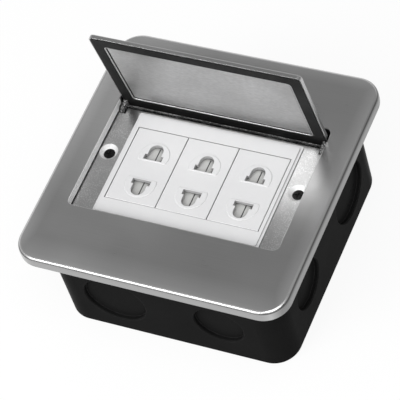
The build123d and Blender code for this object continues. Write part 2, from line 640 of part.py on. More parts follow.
def module_housing():
    body = slab(HOUSING_WIDTH, HOUSING_LENGTH, HOUSING_Z, MODULE_UNDER)
    body = chamfer(body.edges().group_by(Axis.Z)[0], HOUSING_CHAMFER)
    for clip in both_ends(housing_clip()):
        body += clip
    room_y = SHUTTER_REACH + SHUTTER_SIDE_FIT
    body -= block(-ROOM_X, ROOM_X, PIN_Y - room_y, PIN_Y + room_y, DECK_TOP, MODULE_UNDER + CUT_PAST)
    for bay in both_ends(contact_bay()):
        body -= Pos(PIN_X, PIN_Y, 0) * bay
    for way in both_ends(pin_opening(DECK_UNDER - CUT_PAST, DECK_TOP + CUT_PAST, PIN_WAY_FIT)):
        body -= Pos(PIN_X, PIN_Y, 0) * way
    for y in (PIN_Y - TERMINAL_Y, PIN_Y + TERMINAL_Y):
        body -= post(TERMINAL_R, HOUSING_Z - CUT_PAST, CONTACT_Z + CUT_PAST, PIN_X, y)
    return Pos(0, MODULE_Y, 0) * body


def crest_drop(x):
    """How far the shutter's domed top has fallen at x, from its crest."""
    span = SHUTTER_STEP_X - SHUTTER_CREST_X
    radius = (span ** 2 + SHUTTER_CREST_DROP ** 2) / (2 * SHUTTER_CREST_DROP)
    return radius - sqrt(radius ** 2 - (x - SHUTTER_CREST_X) ** 2)


def module_shutter():
    """Sliding shutter; a pin that comes down on its domed slope wedges it to the left."""
    middle = (SHUTTER_CREST_X + SHUTTER_STEP_X) / 2
    step_z = SHUTTER_TOP - SHUTTER_CREST_DROP
    toe_z = step_z - SHUTTER_STEP - SHUTTER_TOE_DROP
    dome = ThreePointArc((SHUTTER_CREST_X, SHUTTER_TOP), (middle, SHUTTER_TOP - crest_drop(middle)),
                         (SHUTTER_STEP_X, step_z))
    rest = Polyline((SHUTTER_STEP_X, step_z), (SHUTTER_STEP_X, step_z - SHUTTER_STEP),
                    (SHUTTER_RIGHT, toe_z), (SHUTTER_RIGHT, SHUTTER_Z), (-SHUTTER_LEFT, SHUTTER_Z),
                    (-SHUTTER_LEFT, SHUTTER_TOP - SHUTTER_HEEL), (SHUTTER_CREST_X, SHUTTER_TOP))
    body = bar_along_y(dome + rest, -SHUTTER_REACH, SHUTTER_REACH)
    body -= block(-SHUTTER_LEFT - CUT_PAST, SHUTTER_STEP_X - SPRING_SEAT, -SPRING_SLOT / 2,
                  SPRING_SLOT / 2, SHUTTER_Z - CUT_PAST, SHUTTER_TOP - SPRING_ROOF)
    return Pos(0, MODULE_Y + PIN_Y, 0) * body


def shutter_spring():
    """Zigzag strip spring between the housing's wall and the far end of the shutter's slot."""
    x0 = SPRING_SHEET / 2 - ROOM_X
    x1 = SHUTTER_STEP_X - SPRING_SEAT - SPRING_SHEET / 2
    half = SPRING_SLOT / 2 - SPRING_FIT
    points = [(x0, 0)]
    for i in range(SPRING_FOLDS):
        points.append((x0 + (x1 - x0) * (i + 0.5) / SPRING_FOLDS, half * (-1) ** i))
    points.append((x1, 0))
    strip = make_face(offset(Polyline(*points), SPRING_SHEET / 2, side=Side.BOTH))
    return Pos(0, MODULE_Y + PIN_Y, SHUTTER_Z + SPRING_LIFT) * extrude(strip, SPRING_HEIGHT)


def contact_clip():
    """Brass strip bent to a base and two leaves that grip a flat or a round pin."""
    base = CONTACT_Z + CONTACT_SHEET / 2
    top = DECK_UNDER - CONTACT_TOP_GAP
    throat = (BLADE_SPACING + CONTACT_THROAT) / 2
    line = Polyline((CONTACT_INNER_Y, top), (CONTACT_INNER_Y, base), (CONTACT_OUTER_Y, base),
                    (CONTACT_OUTER_Y, CONTACT_Z + CONTACT_KNEE), (throat, CONTACT_Z + CONTACT_PINCH),
                    (CONTACT_OUTER_Y - CONTACT_FLARE, top))
    strip = offset(line, CONTACT_SHEET / 2, side=Side.BOTH)
    return bar_along_x(strip, -CONTACT_WIDTH / 2, CONTACT_WIDTH / 2)


def terminal_screw():
    """Pan head screw up through the housing's floor to the contact's base."""
    low = HOUSING_Z - TERMINAL_HEAD
    screw = post(TERMINAL_R - PIN_CLEARANCE, HOUSING_Z, CONTACT_Z, 0, TERMINAL_Y)
    screw += post(TERMINAL_HEAD_R, low, HOUSING_Z, 0, TERMINAL_Y)
    return screw - Pos(0, TERMINAL_Y, low) * Box(3 * TERMINAL_HEAD_R, TERMINAL_SLOT, 2 * TERMINAL_SLOT)


def build():
    os.makedirs("parts", exist_ok=True)
    save("back_box", [back_box()])
    save("box_lugs", both_sides(box_lug()))
    save("frame_screws", both_sides(frame_screw()))
    tab, screw = earth_terminal()
    save("earth_tab", [tab])
    save("earth_screw", [screw])
    save("cover_plate", [cover_plate()])
    save("floor_seal", [floor_seal()])
    save("mounting_frame", [mounting_frame()])
    save("cover_screws", cover_screws())
    save("lid_plate", [lid_plate()])
    save("lid_gasket", [lid_gasket()])
    save("lid_inner_panel", [lid_inner_panel()])
    save("hinge_leaf", [hinge_leaf()])
    save("hinge_pins", both_sides(hinge_pin()))
    save("hinge_washers", both_sides(hinge_washer()))
    save("module_surround", [module_surround()])
    face, housing, shutter = module_face(), module_housing(), module_shutter()
    spring, clip, terminal = shutter_spring(), contact_clip(), terminal_screw()
    for number, x in enumerate(MODULE_XS, 1):
        place = Pos(x, 0, 0)
        far = Pos(x + PIN_X, MODULE_Y + PIN_Y, 0)
        near = far * Rot(0, 0, 180)
        save(f"module_face_{number}", [place * face])
        save(f"module_housing_{number}", [place * housing])
        save(f"shutter_{number}", [place * shutter])
        save(f"shutter_spring_{number}", [place * spring])
        save(f"line_contact_{number}", [far * clip])
        save(f"neutral_contact_{number}", [near * clip])
        save(f"terminal_screws_{number}", [far * terminal, near * terminal])


build()
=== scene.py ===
import json
from math import cos, pi, radians, sin

import bmesh
import bpy
from mathutils import Matrix, Vector


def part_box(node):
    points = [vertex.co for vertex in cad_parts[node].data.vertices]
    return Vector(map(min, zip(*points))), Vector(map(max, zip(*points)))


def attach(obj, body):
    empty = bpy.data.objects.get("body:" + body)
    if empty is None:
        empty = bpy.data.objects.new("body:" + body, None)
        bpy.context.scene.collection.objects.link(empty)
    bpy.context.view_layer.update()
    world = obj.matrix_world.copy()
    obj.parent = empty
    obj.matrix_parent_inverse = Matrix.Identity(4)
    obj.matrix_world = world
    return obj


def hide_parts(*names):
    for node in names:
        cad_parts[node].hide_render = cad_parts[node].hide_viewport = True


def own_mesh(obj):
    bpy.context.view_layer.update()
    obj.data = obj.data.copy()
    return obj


def grey(level):
    """A plain grey as a colour."""
    return level, level, level


# Where the photograph was taken from, in metres in the part's own frame, and its lens in millimetres.
CAMERA_PLACE = Vector((0.37513, -0.48143, 0.82356))
CAMERA_RIGHT = Vector((0.90327, 0.37819, -0.20268))
CAMERA_UP = Vector((-0.20229, 0.79191, 0.57615))
CAMERA_BACK = Vector((0.37840, -0.47942, 0.79182))
CAMERA_LENS = 217.14
SENSOR_WIDTH = 36.0

# Colours of the metals: in the strokes, plain, and rubbed along the edges.
STAINLESS_DARK = grey(0.46)
STAINLESS = grey(0.51)
STAINLESS_BRIGHT = grey(0.64)
SATIN_DARK = grey(0.50)
SATIN = grey(0.56)
SATIN_BRIGHT = grey(0.68)
PANEL_DARK = grey(0.42)
PANEL = grey(0.66)
# The panel's bright edge colour is wear, and it also paints a highlight along the lip round the panel.
PANEL_BRIGHT = grey(0.95)
PINS_DARK = grey(0.05)
PINS = grey(0.09)
PINS_BRIGHT = grey(0.30)
ZINC = (0.62, 0.63, 0.62)
ZINC_PALE = (0.74, 0.74, 0.70)
ZINC_BRIGHT = (0.78, 0.78, 0.76)
SPRING_DARK = (0.45, 0.45, 0.46)
SPRING = (0.52, 0.52, 0.53)
SPRING_BRIGHT = grey(0.62)
BRASS_TARNISHED = (0.46, 0.31, 0.13)
BRASS = (0.72, 0.52, 0.24)
BRASS_BRIGHT = (0.84, 0.66, 0.36)

# Colours that a metal's faces take in places, most of them painted light or shade.
# Bright steel: the colour of bare specks, and a painted highlight on the walls and cones in the plate's opening.
SPECK_AND_HIGHLIGHT_STEEL = grey(0.94)
BARE_STEEL = grey(0.42)
# Painted shade on the plate's skirt, darker at its sides.
PAINTED_SKIRT_SHADE = grey(0.25)
# The plate's rim, rubbed paler and with a painted sheen.
RIM_RUB_AND_SHEEN = grey(0.72)
# Painted shade along the plate's bend into the skirt.
PAINTED_FOLD_SHADE = grey(0.20)
# Painted shade in corners and narrow gaps.
PAINTED_CORNER_SHADE = grey(0.02)

# Colours of the coats, rubbers and plastics: plain, shaded, worn and dusty.
ENAMEL = (grey(0.0125), grey(0.009), grey(0.045), grey(0.014))
BLACK_OXIDE = (grey(0.006), grey(0.004), grey(0.06), grey(0.02))
# The hinge coat's worn colour is wear, and it also paints a highlight along the leaf's upper edge.
HINGE_COAT = (grey(0.042), grey(0.020), grey(0.10), grey(0.12))
RUBBER = (grey(0.010), grey(0.006), grey(0.045), grey(0.03))
FOAM = (grey(0.016), grey(0.009), grey(0.03), grey(0.05))
WHITE = ((0.78, 0.78, 0.785), (0.72, 0.72, 0.73), grey(0.86), (0.66, 0.66, 0.65))
HOUSING = ((0.62, 0.62, 0.60), (0.54, 0.54, 0.52), (0.70, 0.70, 0.68), (0.50, 0.50, 0.48))
SHUTTER = ((0.60, 0.60, 0.59), (0.50, 0.50, 0.49), grey(0.76), (0.50, 0.50, 0.49))
# The painted shadow line along each shutter.
SHUTTER_SHADOW_LINE = (grey(0.035), grey(0.02), grey(0.06), grey(0.035))
# Painted shade on the steep walls of moulded parts.
PAINTED_WALL_SHADE = grey(0.28)

# The cover plate's border, in metres: the opening's reach, the hinge's line, the rolled edge, and how far in
# front of the middle the front rim's band of painted sheen starts and ends.
PLATE_OPENING = 0.0530
PLATE_HINGE = 0.0250
PLATE_EDGE = 0.0585
FRONT_SHEEN_START = -0.048
FRONT_SHEEN_END = -0.060

# The sides of a half-round bead.
BEAD_SIDES = 6

# The dark line painted along each shutter as its shadow line, in metres: its place from the shutter's left side, and
# its section.
SHADOW_LINE_FROM_SIDE = 0.0050
SHADOW_LINE_END_GAP = 0.0006
SHADOW_LINE_HALF = 0.00022
SHADOW_LINE_RISE = 0.00012
SHADOW_LINE_STEPS = 24
SHADOW_LINE_DROP = 0.01

# The black line round the lid's panel, a painted shadow line at the foot of its lip, in metres: half its width, its
# run across and along the lid from the hinge, its corners, and its section over the panel's sheet.
PANEL_SHADOW_SIDE = 0.04035
PANEL_SHADOW_NEAR = 0.00565
PANEL_SHADOW_FAR = 0.04695
PANEL_SHADOW_TURN = 0.0009
PANEL_SHADOW_FACE = -0.00338
PANEL_SHADOW_HALF = 0.00022
PANEL_SHADOW_RISE = 0.00016
PANEL_SHADOW_STEPS = 8

# Light. Each lamp has its place, the point that it faces, the side of its square and its power.
HORIZON_LIGHT = 1.0
OVERHEAD_LIGHT = 0.30
RIGHT_LIGHT = 0.5
PART_MIDDLE = (0.0, 0.0, 0.05)
LAMPS = {
    "overhead softbox": ((0.35, -0.30, 1.25), PART_MIDDLE, 0.80, 6.0),
    "right softbox": ((0.75, -0.75, 0.95), PART_MIDDLE, 0.70, 3.2),
    "front softbox": ((-0.45, -0.84, 0.78), PART_MIDDLE, 0.70, 7.5),
    "low reflector": ((-0.116, 0.107, 0.180), (-0.055, 0.030, 0.053), 0.055, 0.0036),
}

# The floor: its half side and its drop under the part in metres, its parts per side, its colour, and what the
# camera sees of it.
FLOOR_HALF = 4.0
FLOOR_DROP = 0.0001
FLOOR_PARTS = 8
FLOOR_COLOUR = grey(0.8)
FLOOR_GLOW = 0.9
FLOOR_SHADOW = 0.10


# ---- Building shader nodes ----

def put(tree, kind, sockets=None, **settings):
    """Adds a node. A socket given another node's output is linked, and anything else is its own value."""
    made = tree.nodes.new("ShaderNode" + kind)
    for name, value in settings.items():
        setattr(made, name, value)
    for name, value in (sockets or {}).items():
        if isinstance(value, bpy.types.NodeSocket):
            tree.links.new(value, made.inputs[name])
        else:
            made.inputs[name].default_value = value
    return made


def sum_of(tree, operation, first, second=0.5, third=0.5):
    """One Math node's result."""
    return put(tree, "Math", {0: first, 1: second, 2: third}, operation=operation).outputs[0]


def remapped(tree, value, low, high, to_low=0.0, to_high=1.0):
    """The value, stretched from one range to another and held inside it."""
    spread = put(tree, "MapRange", {"Value": value, "From Min": low, "From Max": high,
                                    "To Min": to_low, "To Max": to_high})
    return spread.outputs["Result"]


def shade_between(tree, share, first, second):
    """A colour between two colours."""
    mixed = put(tree, "Mix", {0: share, 6: (*first, 1.0), 7: (*second, 1.0)}, data_type="RGBA")
    return mixed.outputs[2]


def shade_over(tree, share, under, second):
    """A colour laid over another node's colour."""
    return put(tree, "Mix", {0: share, 6: under, 7: (*second, 1.0)}, data_type="RGBA").outputs[2]


def new_effect(name, takes, gives):
    """An empty node group with named inputs and outputs."""
    tree = bpy.data.node_groups.new(name, "ShaderNodeTree")
    for socket, value in takes.items():
        kind = "NodeSocketVector" if isinstance(value, tuple) else "NodeSocketFloat"
        tree.interface.new_socket(socket, in_out="INPUT", socket_type=kind).default_value = value
    for socket, kind in gives.items():
        tree.interface.new_socket(socket, in_out="OUTPUT", socket_type="NodeSocket" + kind)
    return tree, tree.nodes.new("NodeGroupInput").outputs, tree.nodes.new("NodeGroupOutput").inputs


def worn_edge_effect():
    """Corners that hands and tools have rubbed: a mask along them, and a normal that rounds them."""
    tree, given, out = new_effect("worn edge", {"Width": 0.0006, "Patchiness": 0.5},
                                  {"Wear": "Float", "Normal": "Vector"})
    flat = put(tree, "NewGeometry").outputs["Normal"]
    rounded = put(tree, "Bevel", {"Radius": given["Width"]}, samples=4).outputs["Normal"]
    agreement = put(tree, "VectorMath", {0: flat, 1: rounded}, operation="DOT_PRODUCT").outputs["Value"]
    edge = remapped(tree, agreement, 0.995, 0.80)
    place = put(tree, "TexCoord").outputs["Object"]
    patches = put(tree, "TexNoise", {"Vector": place, "Scale": 160.0, "Detail": 4.0}).outputs["Fac"]
    kept = sum_of(tree, "MULTIPLY_ADD", sum_of(tree, "SUBTRACT", patches, 0.5), given["Patchiness"], 0.5)
    worn = sum_of(tree, "MULTIPLY", edge, sum_of(tree, "MULTIPLY", kept, 2.0))
    tree.links.new(sum_of(tree, "MINIMUM", worn, 1.0), out["Wear"])
    tree.links.new(rounded, out["Normal"])
    return tree


def brushing_effect():
    """Strokes of a brushing belt, which run along the hinge and, on the end faces, across it."""
    tree, given, out = new_effect("brushing", {"Fineness": 3800.0, "Stroke": 26.0, "Depth": 0.00002,
                                               "Normal": (0.0, 0.0, 0.0)},
                                  {"Streak": "Float", "Smudge": "Float", "Normal": "Vector"})
    coordinates = put(tree, "TexCoord")
    place, facing = coordinates.outputs["Object"], coordinates.outputs["Normal"]
    along_hinge = put(tree, "CombineXYZ", {0: given["Stroke"], 1: given["Fineness"], 2: given["Fineness"]})
    across_hinge = put(tree, "CombineXYZ", {0: given["Fineness"], 1: given["Stroke"], 2: given["Fineness"]})
    strokes = []
    for stretch in (along_hinge, across_hinge):
        stretched = put(tree, "VectorMath", {0: place, 1: stretch.outputs[0]}, operation="MULTIPLY").outputs[0]
        strokes.append(put(tree, "TexNoise", {"Vector": stretched, "Scale": 1.0, "Detail": 3.0,
                                              "Roughness": 0.65}).outputs["Fac"])
    sideways = sum_of(tree, "ABSOLUTE", put(tree, "SeparateXYZ", {0: facing}).outputs[0])
    on_end = sum_of(tree, "GREATER_THAN", sideways, 0.7)
    streak = put(tree, "Mix", {0: on_end, 2: strokes[0], 3: strokes[1]}, data_type="FLOAT").outputs[0]
    smudge = put(tree, "TexNoise", {"Vector": place, "Scale": 38.0, "Detail": 3.0, "Roughness": 0.55}).outputs["Fac"]
    raised = put(tree, "Bump", {"Strength": 0.6, "Distance": given["Depth"], "Height": streak,
                                "Normal": given["Normal"]})
    tree.links.new(streak, out["Streak"])
    tree.links.new(smudge, out["Smudge"])
    tree.links.new(raised.outputs["Normal"], out["Normal"])
    return tree


def moulded_skin_effect():
    """The fine even grain that a spark-eroded mould, or sprayed enamel, leaves."""
    tree, given, out = new_effect("moulded skin", {"Grain": 2600.0, "Depth": 0.00002, "Normal": (0.0, 0.0, 0.0)},
                                  {"Speck": "Float", "Cloud": "Float", "Normal": "Vector"})
    place = put(tree, "TexCoord").outputs["Object"]
    speck = put(tree, "TexNoise", {"Vector": place, "Scale": given["Grain"], "Detail": 2.0}).outputs["Fac"]
    cloud = put(tree, "TexNoise", {"Vector": place, "Scale": 55.0, "Detail": 4.0, "Roughness": 0.6}).outputs["Fac"]
    raised = put(tree, "Bump", {"Strength": 0.5, "Distance": given["Depth"], "Height": speck,
                                "Normal": given["Normal"]})
    tree.links.new(speck, out["Speck"])
    tree.links.new(cloud, out["Cloud"])
    tree.links.new(raised.outputs["Normal"], out["Normal"])
    return tree


def settled_dust_effect():
    """Where a thin film of dust lies: on faces that look up, in soft patches."""
    tree, given, out = new_effect("settled dust", {"Amount": 0.3}, {"Dust": "Float"})
    coordinates = put(tree, "TexCoord")
    upward = remapped(tree, put(tree, "SeparateXYZ", {0: coordinates.outputs["Normal"]}).outputs[2], 0.3, 0.9)
    patches = put(tree, "TexNoise", {"Vector": coordinates.outputs["Object"], "Scale": 120.0, "Detail": 6.0,
                                     "Roughness": 0.7}).outputs["Fac"]
    share = sum_of(tree, "MULTIPLY", upward, remapped(tree, patches, 0.35, 0.75))
    tree.links.new(sum_of(tree, "MULTIPLY", share, given["Amount"]), out["Dust"])
    return tree


def painted_corner_shade_effect():
    """Painted shade that darkens narrow gaps and the foot of a wall, by how shut in the surface is."""
    tree, given, out = new_effect("painted corner shade", {"Reach": 0.001, "Amount": 0.6}, {"Painted Shade": "Float"})
    openness = put(tree, "AmbientOcclusion", {"Distance": given["Reach"]}, samples=8).outputs["AO"]
    shut_in = remapped(tree, openness, 0.72, 0.12)
    tree.links.new(sum_of(tree, "MULTIPLY", shut_in, given["Amount"]), out["Painted Shade"])
    return tree


def plate_face_effect():
    """Painted light on a pressed plate's faces, one mask each: a bright, less metallic painted highlight on the walls
    and cones inside the opening; painted shade on the skirt, darker at its sides; the rolled border, rubbed paler and
    with a painted sheen, most of all in front; and painted shade along the bend into the skirt."""
    tree, given, out = new_effect("plate faces", {"Opening": PLATE_OPENING, "Hinge": PLATE_HINGE, "Edge": PLATE_EDGE},
                                  {"Wall Highlight": "Float", "Skirt Shade": "Float", "Rim Sheen": "Float", "Fold Shade": "Float"})
    coordinates = put(tree, "TexCoord")
    facing = put(tree, "SeparateXYZ", {0: coordinates.outputs["Normal"]}).outputs
    sloping = remapped(tree, sum_of(tree, "ABSOLUTE", facing[2]), 0.90, 0.70)
    sideways = remapped(tree, sum_of(tree, "ABSOLUTE", facing[0]), 0.55, 0.85)
    lengthways = remapped(tree, sum_of(tree, "ABSOLUTE", facing[1]), 0.85, 0.97, 0.0, 0.42)
    sideways = sum_of(tree, "MAXIMUM", sideways, lengthways)
    place = put(tree, "SeparateXYZ", {0: coordinates.outputs["Object"]}).outputs
    across, along = sum_of(tree, "ABSOLUTE", place[0]), sum_of(tree, "ABSOLUTE", place[1])
    outward = sum_of(tree, "MAXIMUM", across, along)
    inside = sum_of(tree, "LESS_THAN", outward, given["Opening"])
    before_hinge = sum_of(tree, "LESS_THAN", place[1], given["Hinge"])
    # A painted highlight on the walls inside the opening, and painted shade on the skirt outside it.
    tree.links.new(sum_of(tree, "MULTIPLY", sloping, sum_of(tree, "MULTIPLY", inside, before_hinge)), out["Wall Highlight"])
    tree.links.new(sum_of(tree, "MULTIPLY", sideways, sum_of(tree, "SUBTRACT", 1.0, inside)), out["Skirt Shade"])
    rolled = put(tree, "MapRange", {"Value": outward, "From Min": given["Opening"], "From Max": given["Edge"]})
    upward = remapped(tree, facing[2], 0.3, 0.8)
    in_front = remapped(tree, place[1], -0.020, -0.055, 0.6, 1.0)
    # The rim's paler band: rubbing and a painted sheen, strongest in front.
    rubbed = sum_of(tree, "MULTIPLY", rolled.outputs["Result"], in_front)
    front_sheen = remapped(tree, place[1], FRONT_SHEEN_START, FRONT_SHEEN_END, 0.0, 0.9)
    rubbed = sum_of(tree, "MAXIMUM", rubbed, front_sheen)
    tree.links.new(sum_of(tree, "MULTIPLY", rubbed, upward), out["Rim Sheen"])
    # Painted shade along the bend, which narrows the edge's highlight.
    bend = sum_of(tree, "MULTIPLY", remapped(tree, facing[2], 0.38, 0.50), remapped(tree, facing[2], 0.84, 0.74))
    tree.links.new(sum_of(tree, "MULTIPLY", bend, sum_of(tree, "SUBTRACT", 1.0, inside)), out["Fold Shade"])
    return tree


def painted_wall_shade_effect():
    """Painted shade on walls that stand near vertical, by how steep each face is."""
    tree, given, out = new_effect("painted wall shade", {"Amount": 0.6}, {"Upright": "Float"})
    facing = put(tree, "SeparateXYZ", {0: put(tree, "TexCoord").outputs["Normal"]}).outputs[2]
    painted_wall_light = remapped(tree, sum_of(tree, "ABSOLUTE", facing), 0.55, 0.25)
    tree.links.new(sum_of(tree, "MULTIPLY", painted_wall_light, given["Amount"]), out["Upright"])
    return tree


def bare_speck_effect():
    """Tiny spots where a coat is chipped to bright metal, thicker in some places than in others."""
    tree, given, out = new_effect("bare specks", {"Fineness": 2600.0, "Share": 0.2}, {"Specks": "Float"})
    place = put(tree, "TexCoord").outputs["Object"]
    spots = put(tree, "TexNoise", {"Vector": place, "Scale": given["Fineness"], "Detail": 1.0}).outputs["Fac"]
    crowd = put(tree, "TexNoise", {"Vector": place, "Scale": 210.0, "Detail": 2.0}).outputs["Fac"]
    threshold = sum_of(tree, "MULTIPLY_ADD", given["Share"], -0.5, 0.68)
    threshold = sum_of(tree, "SUBTRACT", threshold, sum_of(tree, "MULTIPLY_ADD", crowd, 0.3, -0.15))
    over = sum_of(tree, "SUBTRACT", spots, threshold)
    tree.links.new(remapped(tree, over, 0.0, 0.06), out["Specks"])
    return tree


# ---- Finishes ----

def new_finish(name, **shader):
    """A material with one Principled shader whose plain values are set on its own sockets."""
    material = bpy.data.materials.new(name)
    material.use_nodes = True
    tree = material.node_tree
    tree.nodes.clear()
    surface = put(tree, "BsdfPrincipled", {key.replace("_", " "): value for key, value in shader.items()})
    put(tree, "OutputMaterial", {"Surface": surface.outputs[0]})
    return material, tree, surface.inputs


def metal_finish(name, effects, colours, fineness, stroke, depth, roughness, wear_width, corner_shade=(0.001, 0.8),
                 ground=0.0, patchy=0.6, cloudy=0.0, specks=None, **shader):
    """Brushed or drawn metal: strokes, smudges from handling, bright rubbed edges and painted shade in corners.
    roughness is the plain value and its spread, the corner shade its reach and amount, ground the plate's painted
    light and its highlight on the walls in the opening, and specks the fineness, the share and the strength of bright
    spots."""
    material, tree, surface = new_finish(name, Metallic=1.0, **shader)
    edge = put(tree, "Group", {"Width": wear_width, "Patchiness": patchy}, node_tree=effects["worn edge"])
    grain = put(tree, "Group", {"Fineness": fineness, "Stroke": stroke, "Depth": depth,
                                "Normal": edge.outputs["Normal"]}, node_tree=effects["brushing"])
    streak = remapped(tree, grain.outputs["Streak"], 0.25, 0.75)
    smudge = remapped(tree, grain.outputs["Smudge"], 0.3, 0.7)
    dark, plain, bright = colours
    brushed = shade_over(tree, sum_of(tree, "MULTIPLY", smudge, 0.35),
                         shade_between(tree, streak, dark, plain), plain)
    thin = sum_of(tree, "MULTIPLY_ADD", smudge, -cloudy, cloudy)
    shade = shade_over(tree, thin, brushed, dark)
    if specks:
        spots = put(tree, "Group", {"Fineness": specks[0], "Share": specks[1]}, node_tree=effects["bare specks"])
        shade = shade_over(tree, sum_of(tree, "MULTIPLY", spots.outputs["Specks"], specks[2]), shade, SPECK_AND_HIGHLIGHT_STEEL)
    shade = shade_over(tree, edge.outputs["Wear"], shade, bright)
    rough = sum_of(tree, "MULTIPLY_ADD", streak, -0.5 * roughness[1], roughness[0] + 0.25 * roughness[1])
    rough = sum_of(tree, "MULTIPLY_ADD", smudge, roughness[1], rough)
    rough = sum_of(tree, "MULTIPLY_ADD", edge.outputs["Wear"], -0.08, rough)
    # Painted light on the plate's faces: sheen on the rim, shade on the skirt and the bend, and a bright, less
    # metallic highlight on the walls in the opening.
    if ground:
        faces = put(tree, "Group", node_tree=effects["plate faces"]).outputs
        shade = shade_over(tree, faces["Rim Sheen"], shade, RIM_RUB_AND_SHEEN)
        shade = shade_over(tree, faces["Skirt Shade"], shade, PAINTED_SKIRT_SHADE)
        shade = shade_over(tree, faces["Fold Shade"], shade, PAINTED_FOLD_SHADE)
        painted_wall_light = sum_of(tree, "MULTIPLY", faces["Wall Highlight"], ground)
        shade = shade_over(tree, painted_wall_light, shade, SPECK_AND_HIGHLIGHT_STEEL)
        rough = sum_of(tree, "MULTIPLY_ADD", painted_wall_light, 0.35, rough)
        tree.links.new(sum_of(tree, "MULTIPLY_ADD", painted_wall_light, -0.8, 1.0), surface["Metallic"])
    # Painted shade in corners and gaps, laid over the colour.
    painted_shade = put(tree, "Group", {"Reach": corner_shade[0], "Amount": corner_shade[1]}, node_tree=effects["painted corner shade"])
    tree.links.new(shade_over(tree, painted_shade.outputs["Painted Shade"], shade, PAINTED_CORNER_SHADE), surface["Base Color"])
    tree.links.new(rough, surface["Roughness"])
    tree.links.new(grain.outputs["Normal"], surface["Normal"])
    return material


def moulded_finish(name, effects, colours, grain, depth, roughness, wear_width, dust=0.0, corner_shade=(0.001, 0.5),
                   specks=None, painted_wall_light=0.0, **shader):
    """Plastic, rubber or enamel: fine skin, faint clouds, paler edges, a little dust, painted shade in corners and,
    when asked, painted shade on steep walls. roughness is the plain value and its spread, the corner shade its reach
    and amount, and specks the fineness and the share of bare spots."""
    material, tree, surface = new_finish(name, **shader)
    edge = put(tree, "Group", {"Width": wear_width, "Patchiness": 0.8}, node_tree=effects["worn edge"])
    skin = put(tree, "Group", {"Grain": grain, "Depth": depth, "Normal": edge.outputs["Normal"]},
               node_tree=effects["moulded skin"])
    film = put(tree, "Group", {"Amount": dust}, node_tree=effects["settled dust"])
    plain, shaded, worn, dusty = colours
    cloud = remapped(tree, skin.outputs["Cloud"], 0.3, 0.7)
    speck = remapped(tree, skin.outputs["Speck"], 0.3, 0.7)
    tone = shade_between(tree, sum_of(tree, "MULTIPLY", cloud, 0.6), plain, shaded)
    tone = shade_over(tree, sum_of(tree, "MULTIPLY", speck, 0.25), tone, shaded)
    tone = shade_over(tree, film.outputs["Dust"], tone, dusty)
    tone = shade_over(tree, edge.outputs["Wear"], tone, worn)
    # Painted shade on steep walls.
    if painted_wall_light:
        walls = put(tree, "Group", {"Amount": painted_wall_light}, node_tree=effects["painted wall shade"])
        tone = shade_over(tree, walls.outputs["Upright"], tone, PAINTED_WALL_SHADE)
    if specks:
        chipped = put(tree, "Group", {"Fineness": specks[0], "Share": specks[1]}, node_tree=effects["bare specks"])
        tone = shade_over(tree, chipped.outputs["Specks"], tone, BARE_STEEL)
    # Painted shade in corners and gaps, laid over the colour.
    painted_shade = put(tree, "Group", {"Reach": corner_shade[0], "Amount": corner_shade[1]}, node_tree=effects["painted corner shade"])
    tree.links.new(shade_over(tree, painted_shade.outputs["Painted Shade"], tone, PAINTED_CORNER_SHADE), surface["Base Color"])
    rough = sum_of(tree, "MULTIPLY_ADD", cloud, roughness[1], roughness[0] - 0.5 * roughness[1])
    tree.links.new(sum_of(tree, "MULTIPLY_ADD", film.outputs["Dust"], 0.4, rough), surface["Roughness"])
    tree.links.new(skin.outputs["Normal"], surface["Normal"])
    return material


